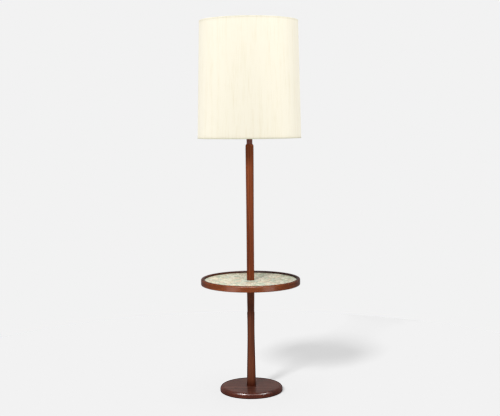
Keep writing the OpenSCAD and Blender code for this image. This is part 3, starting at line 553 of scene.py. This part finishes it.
SHADE_STEPS = 360
CLOTH_ROWS = 40
CLOTH_T = 0.8 * MM
LAP_ANGLE = math.pi
LAP_WIDTH = 12 * MM
LAP_FOLD = 1 * MM
LAP_RISE = 0.35 * MM
LAP_WANDER = 0.3 * MM
TAPE_T = 0.45 * MM
TAPE_HEIGHT = 7 * MM
TAPE_RAGGED = 0.12 * MM
# The carrier's arms, and how the top tape makes way for them
ARMS = 3
ARMS_START = math.pi
ARM_GAP = 2.2 * MM
ARM_EASE = 0.6 * MM
TAPE_UNDER_ARM = 0.8 * MM


def even_angles(steps):
    """Angles at even steps round a full turn."""
    return [2 * math.pi * i / steps for i in range(steps)]


def smooth_step(value):
    """A value from 0 to 1 with eased ends."""
    value = max(0.0, min(1.0, value))
    return value * value * (3 - 2 * value)


def make_fabric(finish):
    """The fabric, stretched over its backing. Its end laps over its start in a folded seam at the back."""
    low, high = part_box("shade_fabric")
    low_r = radius_near("shade_fabric", low.z)
    high_r = radius_near("shade_fabric", high.z)
    heights = [low.z + (high.z - low.z) * k / CLOTH_ROWS for k in range(CLOTH_ROWS + 1)]

    def radius(z):
        return low_r + (high_r - low_r) * (z - low.z) / (high.z - low.z)

    outside = [(radius(z), z) for z in heights]
    inside = [(radius(z) - CLOTH_T, z) for z in reversed(heights)]
    half = LAP_WIDTH / 2 / low_r
    fold = LAP_FOLD / low_r
    at_folds = [LAP_ANGLE + side * (half + fold * step / 4) for side in (-1, 1) for step in range(-4, 5)]
    angles = sorted(even_angles(SHADE_STEPS) + at_folds)

    def lap(angle, k):
        if k > CLOTH_ROWS:
            return 0.0, 0.0
        away = abs(angle - LAP_ANGLE) - half
        wander = LAP_WANDER / low_r * math.sin(heights[k] * 23)
        return LAP_RISE * (1 - smooth_step((away + wander + fold / 2) / fold)), 0.0

    fabric = turned("shade_fabric_cover", outside + inside, angles, finish, "shade", lap)
    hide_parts("shade_fabric")
    return fabric


def make_tape(node, name, finish, up):
    """A tape folded round a rim of the shade: a band outside, a soft fold over the edge and a band inside,
    which at the top makes way for the carrier's arms. up is 1 at the lower rim and -1 at the upper."""
    low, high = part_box(node)
    edge = low.z if up > 0 else high.z
    outer = radius_near(node, edge)
    far_outer = radius_near(node, edge + up * TAPE_HEIGHT)
    inner = radius_near(node, edge, outer=False)
    lean = (far_outer - outer) / TAPE_HEIGHT
    t = TAPE_T
    end = TAPE_HEIGHT
    # Depth inside the outer face, and distance from the rim
    outline = [(0.12 * MM, end), (0.0, end - 0.3 * MM), (0.06 * MM, end * 0.7), (0.08 * MM, end * 0.45),
               (0.0, 1.3 * MM), (0.1 * MM, 0.45 * MM), (0.45 * MM, 0.06 * MM), (1.1 * MM, 0.0)]
    depth = outer - inner
    back = [(depth - 1.1 * MM, 0.0), (depth - 0.45 * MM, 0.06 * MM), (depth - 0.1 * MM, 0.45 * MM),
            (depth, 1.3 * MM), (depth, end - 0.3 * MM), (depth - 0.12 * MM, end), (depth - t, end - 0.1 * MM),
            (depth - t, 1.4 * MM), (depth - t - 0.1 * MM, t + 0.1 * MM), (depth - t - 0.5 * MM, t)]
    front = [(t + 0.5 * MM, t), (t + 0.1 * MM, t + 0.1 * MM), (t, 1.4 * MM), (t, end - 0.1 * MM)]
    folded = outline + back + front
    points = [(outer - d + lean * u, edge + up * u) for d, u in folded]

    def wave(angle, k):
        d, u = folded[k]
        if u < end * 0.6:
            return 0.0, 0.0
        ragged = TAPE_RAGGED * (math.sin(angle * 37) + 0.6 * math.sin(angle * 83 + 1.3))
        if d > depth / 2 and up < 0:
            gaps = [abs(math.remainder(angle - ARMS_START - 2 * math.pi * arm / ARMS, 2 * math.pi))
                    for arm in range(ARMS)]
            cut = 1 - smooth_step((min(gaps) * inner - ARM_GAP) / ARM_EASE)
            ragged -= cut * (u - TAPE_UNDER_ARM)
        return 0.0, up * ragged

    angles = even_angles(SHADE_STEPS)
    if up < 0:
        for arm in range(ARMS):
            middle = ARMS_START + 2 * math.pi * arm / ARMS
            reach = (ARM_GAP + ARM_EASE) / inner
            angles += [(middle + side * reach * (1 - step / 12)) % (2 * math.pi)
                       for side in (-1, 1) for step in range(4)]
    tape = turned(name, points, sorted(set(angles)), finish, "shade", wave)
    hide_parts(node)
    return tape


def make_shade(materials):
    """The fabric of the shade and the folded tapes along its rims."""
    return [make_fabric(materials["slub_fabric"]),
            make_tape("shade_top_trim", "shade_top_tape", materials["trim_fabric"], -1),
            make_tape("shade_bottom_trim", "shade_bottom_tape", materials["trim_fabric"], 1)]


# ---- Felt ----

FELT_STEPS = 180
FELT_WAVE = 0.15 * MM
# Rings of the pad: share of its radius, how far it is moved out, share of its thickness
FELT_RINGS = [(0.35, 0.0, 0.0), (0.8, 0.0, 0.0), (1.0, -0.9 * MM, 0.0), (1.0, -0.3 * MM, 0.25),
              (1.0, 0.0, 0.6), (1.0, -0.2 * MM, 1.0), (0.8, 0.0, 1.0), (0.35, 0.0, 1.0)]


def make_felt(finish):
    """The felt pad under the base, cut round, with its edge pressed soft."""
    low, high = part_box("base_felt")
    radius = radius_near("base_felt", low.z)
    verts = [(0, 0, low.z)]
    for share, offset, rise in FELT_RINGS:
        for angle in even_angles(FELT_STEPS):
            wave = FELT_WAVE * math.sin(angle * 29) if share == 1.0 else 0.0
            r = radius * share + offset + wave - FELT_WAVE
            height = low.z + rise * (high.z - low.z)
            verts.append((r * math.cos(angle), r * math.sin(angle), height))
    verts.append((0, 0, high.z))
    faces = []
    last = 1 + (len(FELT_RINGS) - 1) * FELT_STEPS
    for ring in range(1, last, FELT_STEPS):
        for i in range(FELT_STEPS):
            a, b = ring + i, ring + (i + 1) % FELT_STEPS
            faces.append((a, b, b + FELT_STEPS, a + FELT_STEPS))
    for i in range(FELT_STEPS):
        after = (i + 1) % FELT_STEPS
        faces.append((0, 1 + after, 1 + i))
        faces.append((len(verts) - 1, last + i, last + after))
    pad = new_piece("base_felt_pad", verts, faces, finish, "stand")
    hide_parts("base_felt")


# ---- Mosaic ----

TONES = [srgb(212, 222, 194), srgb(236, 240, 216), srgb(248, 238, 210), srgb(200, 212, 186),
         srgb(232, 222, 196), srgb(190, 200, 176), srgb(252, 248, 226), srgb(218, 208, 184),
         srgb(202, 218, 202), srgb(242, 226, 198), srgb(240, 216, 192), srgb(226, 232, 214)]
TILE_SEED = 5
# How low a tile lies, as a share from the full sink to none, and how light it is
TILE_LIFT = (0.84, 0.97)
TILE_SINK = 2 * MM
TILE_LIGHT = (0.88, 1.12)
# The upper part of a tile: distance in from its side, depth below its crown, share of the edge's colour
TILE_TOP = [(0.0, 0.9 * MM, 1.0), (0.25 * MM, 0.35 * MM, 0.7), (0.9 * MM, 0.05 * MM, 0.15),
            (2.4 * MM, 0.0, 0.0)]


def tile_islands():
    """The corners of each tile's top face, in order, and the heights of its bottom and top."""
    source = bmesh.new()
    source.from_mesh(NODES["mosaic_tiles"].data)
    bmesh.ops.remove_doubles(source, verts=source.verts, dist=0.01 * MM)
    bmesh.ops.dissolve_limit(source, angle_limit=0.01, verts=source.verts, edges=source.edges)
    top = max(v.co.z for v in source.verts)
    bottom = min(v.co.z for v in source.verts)
    found = []
    for face in source.faces:
        if face.normal.z > 0.9 and abs(face.calc_center_median().z - top) < 0.1 * MM:
            found.append([v.co.xy.copy() for v in face.verts])
    source.free()
    return found, bottom, top


def make_tiles(materials):
    """Hand-made tiles: each with softened edges, a low crown and a tone of its own."""
    outlines, bottom, top = tile_islands()
    random.seed(TILE_SEED)
    verts, faces, tones, edges = [], [], [], []
    for outline in outlines:
        centre = sum(outline, Vector((0, 0))) / len(outline)
        tone = TONES[random.randrange(len(TONES))]
        lift = random.uniform(*TILE_LIFT)
        light = random.uniform(*TILE_LIGHT)
        colour = (tone[0] * light, tone[1] * light, tone[2] * light, 1.0)
        crown = top - (1 - lift) * TILE_SINK
        rings = [(0.0, bottom, 1.0)] + [(inset, crown - depth, edge) for inset, depth, edge in TILE_TOP]
        start = len(verts)
        n = len(outline)
        for inset, height, edge in rings:
            for corner in outline:
                pull = centre - corner
                verts.append((*(corner + pull.normalized() * min(inset, pull.length * 0.8)), height))
                tones.append(colour)
                edges.append(edge)
        for k in range(len(rings) - 1):
            for i in range(n):
                a = start + k * n + i
                b = start + k * n + (i + 1) % n
                faces.append((a, b, b + n, a + n))
        faces.append(tuple(start + (len(rings) - 1) * n + i for i in range(n)))
        faces.append(tuple(start + n - 1 - i for i in range(n)))
    piece = new_piece("mosaic_tiles_glazed", verts, faces, materials["tile_glaze"], "stand")
    piece.data.attributes.new("tile_tone", "FLOAT_COLOR", "POINT")
    piece.data.attributes.new("tile_edge", "FLOAT", "POINT")
    piece.data.attributes["tile_tone"].data.foreach_set("color", [value for tone in tones for value in tone])
    piece.data.attributes["tile_edge"].data.foreach_set("value", edges)
    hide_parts("mosaic_tiles")


# ---- Stage and light ----

WORLD_LIGHT = 0.15
SEEN_GREY = srgb(242, 242, 242)[0]
FLOOR_RADIUS = 1.6
FLOOR_CORNERS = 96
# Each light: place, point it faces, width, height, watts, what it lights. Where that ends in _gloss, the
# light shows in the lacquer only.
LIGHTS = {
    "key": ((-1.75, -3.45, 2.78), (0, 0, 0.45), 0.95, 0.95, 79, "all"),
    "fill": ((2.2, -2.6, 1.5), (0, 0, 0.7), 1.4, 1.6, 10, "lamp"),
    "top": ((0.2, -1.7, 3.4), (0, 0, 0.6), 1.8, 1.0, 31, "lamp"),
    "over": ((-0.9, -0.6, 3.5), (0, 0, 0.45), 0.8, 0.8, 30, "wood"),
    "back": ((0.3, 3.8, 1.6), (0, 0, 0.7), 2.4, 1.6, 85, "lamp"),
    "floor_fill": ((0.0, 0.0, 4.0), (0, 0, 0), 2.0, 2.0, 43, "floor"),
    "shade_right": ((3.05, 0.2, 1.3), (0, 0, 1.2), 1.6, 1.6, 57, "shade"),
    "shade_left": ((-3.0, 0.9, 1.1), (0, 0, 1.2), 1.6, 1.6, 52, "shade"),
    "shade_front": ((0.1, -3.7, 1.2), (0, 0, 1.2), 1.2, 1.2, 15, "shade"),
    "column_right": ((2.2, -3.0, 1.6), (0, 0, 0.8), 0.8, 1.6, 20, "column"),
    "base_left": ((-3.0, -1.2, 0.6), (0, 0, 0.0), 1.0, 0.8, 14, "base"),
    "base_right": ((3.0, -1.2, 0.6), (0, 0, 0.0), 1.0, 0.8, 10, "base"),
    "panel_left": ((-1.33, -1.26, 2.62), (0, 0, 0.02), 0.9, 1.1, 520, "base_gloss"),
    "panel_right": ((1.64, -0.82, 2.62), (0, 0, 0.02), 0.9, 1.1, 360, "base_gloss"),
    "base_front": ((0.0, -2.2, 3.0), (0, 0, 0.02), 2.4, 1.2, 90, "base_gloss"),
    "rim_left": ((-2.1, -2.42, 0.6), (0, 0, 0.6), 1.6, 2.4, 95, "rim_gloss"),
    "rim_right": ((2.12, -2.4, 0.6), (0, 0, 0.6), 1.4, 2.4, 85, "rim_gloss"),
    "rim_top": ((0.0, -3.0, 2.9), (0, 0, 0.45), 4.5, 2.4, 900, "rim_gloss"),
}


def make_world():
    """Even white light, which the camera and reflections see as the photograph's pale background."""
    world = bpy.data.worlds.new("world")
    bpy.context.scene.world = world
    world.use_nodes = True
    tree = world.node_tree
    tree.nodes.clear()
    path = add(tree, "ShaderNodeLightPath")
    seen = sums(tree, "MAXIMUM", path.outputs["Is Camera Ray"], path.outputs["Is Glossy Ray"])
    seen = sums(tree, "MAXIMUM", seen, path.outputs["Is Transmission Ray"])
    lit = add(tree, "ShaderNodeBackground", {"Color": (1, 1, 1, 1), "Strength": WORLD_LIGHT})
    grey = (SEEN_GREY, SEEN_GREY, SEEN_GREY, 1)
    shown = add(tree, "ShaderNodeBackground", {"Color": grey, "Strength": 1.0})
    both = add(tree, "ShaderNodeMixShader", {0: seen, 1: lit.outputs[0], 2: shown.outputs[0]})
    add(tree, "ShaderNodeOutputWorld", {"Surface": both.outputs[0]})


def receivers(name, objects, state):
    """A collection that a light is linked to: it lights only these objects, or all but these."""
    group = bpy.data.collections.new(name)
    for item in objects:
        group.objects.link(item)
    for link in group.collection_objects:
        link.light_linking.link_state = state
    return group


def make_lights(floor, shade):
    """A soft key light from the front left, which alone throws the lamp's shadow on the floor, lights
    round the lamp that the floor doesn't take, one without shadow for the floor, lights of their own for
    the shade, the upper column and the base, and panels that show in the lacquer of the base and the rim."""
    base = [NODES["base_disc"]]
    column = [NODES["upper_column"], NODES["neck"]]
    groups = {"lamp": ([floor], "EXCLUDE"), "wood": ([floor] + shade, "EXCLUDE"),
              "floor": ([floor], "INCLUDE"), "shade": (shade, "INCLUDE"), "column": (column, "INCLUDE"),
              "base": (base, "INCLUDE"), "base_gloss": (base, "INCLUDE"),
              "rim_gloss": ([NODES["table_rim"]], "INCLUDE")}
    linked = {group: receivers(group + "_lights", *lit) for group, lit in groups.items()}
    for name, (place, target, width, height, watts, lit) in LIGHTS.items():
        data = bpy.data.lights.new(name, "AREA")
        data.shape = "ELLIPSE" if name == "key" else "RECTANGLE"
        data.size = width
        data.size_y = height
        data.energy = watts
        data.use_shadow = lit != "floor"
        light = bpy.data.objects.new(name, data)
        bpy.context.scene.collection.objects.link(light)
        light.location = place
        light.rotation_euler = (Vector(target) - Vector(place)).to_track_quat("-Z", "Y").to_euler()
        light.visible_camera = False
        light.visible_glossy = lit.endswith("_gloss")
        light.visible_diffuse = not light.visible_glossy
        if lit in linked:
            light.light_linking.receiver_collection = linked[lit]


def make_stage():
    """A round pale floor that keeps the lamp's shadow and otherwise shows as the background."""
    mesh = bpy.data.meshes.new("floor")
    turns = even_angles(FLOOR_CORNERS)
    corners = [(FLOOR_RADIUS * math.cos(turn), FLOOR_RADIUS * math.sin(turn), 0) for turn in turns]
    mesh.from_pydata(corners, [], [tuple(range(FLOOR_CORNERS))])
    floor = bpy.data.objects.new("floor", mesh)
    bpy.context.scene.collection.objects.link(floor)
    grey = (SEEN_GREY, SEEN_GREY, SEEN_GREY, 1)
    mesh.materials.append(material("floor", Base_Color=grey, Roughness=0.9, Specular_IOR_Level=0.1)[0])
    floor.is_shadow_catcher = True
    return floor


make_camera()
finishes = make_materials()
dress(finishes)
shade_pieces = make_shade(finishes)
make_felt(finishes["felt"])
make_tiles(finishes)
make_world()
make_lights(make_stage(), shade_pieces)
bpy.context.scene.view_settings.view_transform = "Standard"
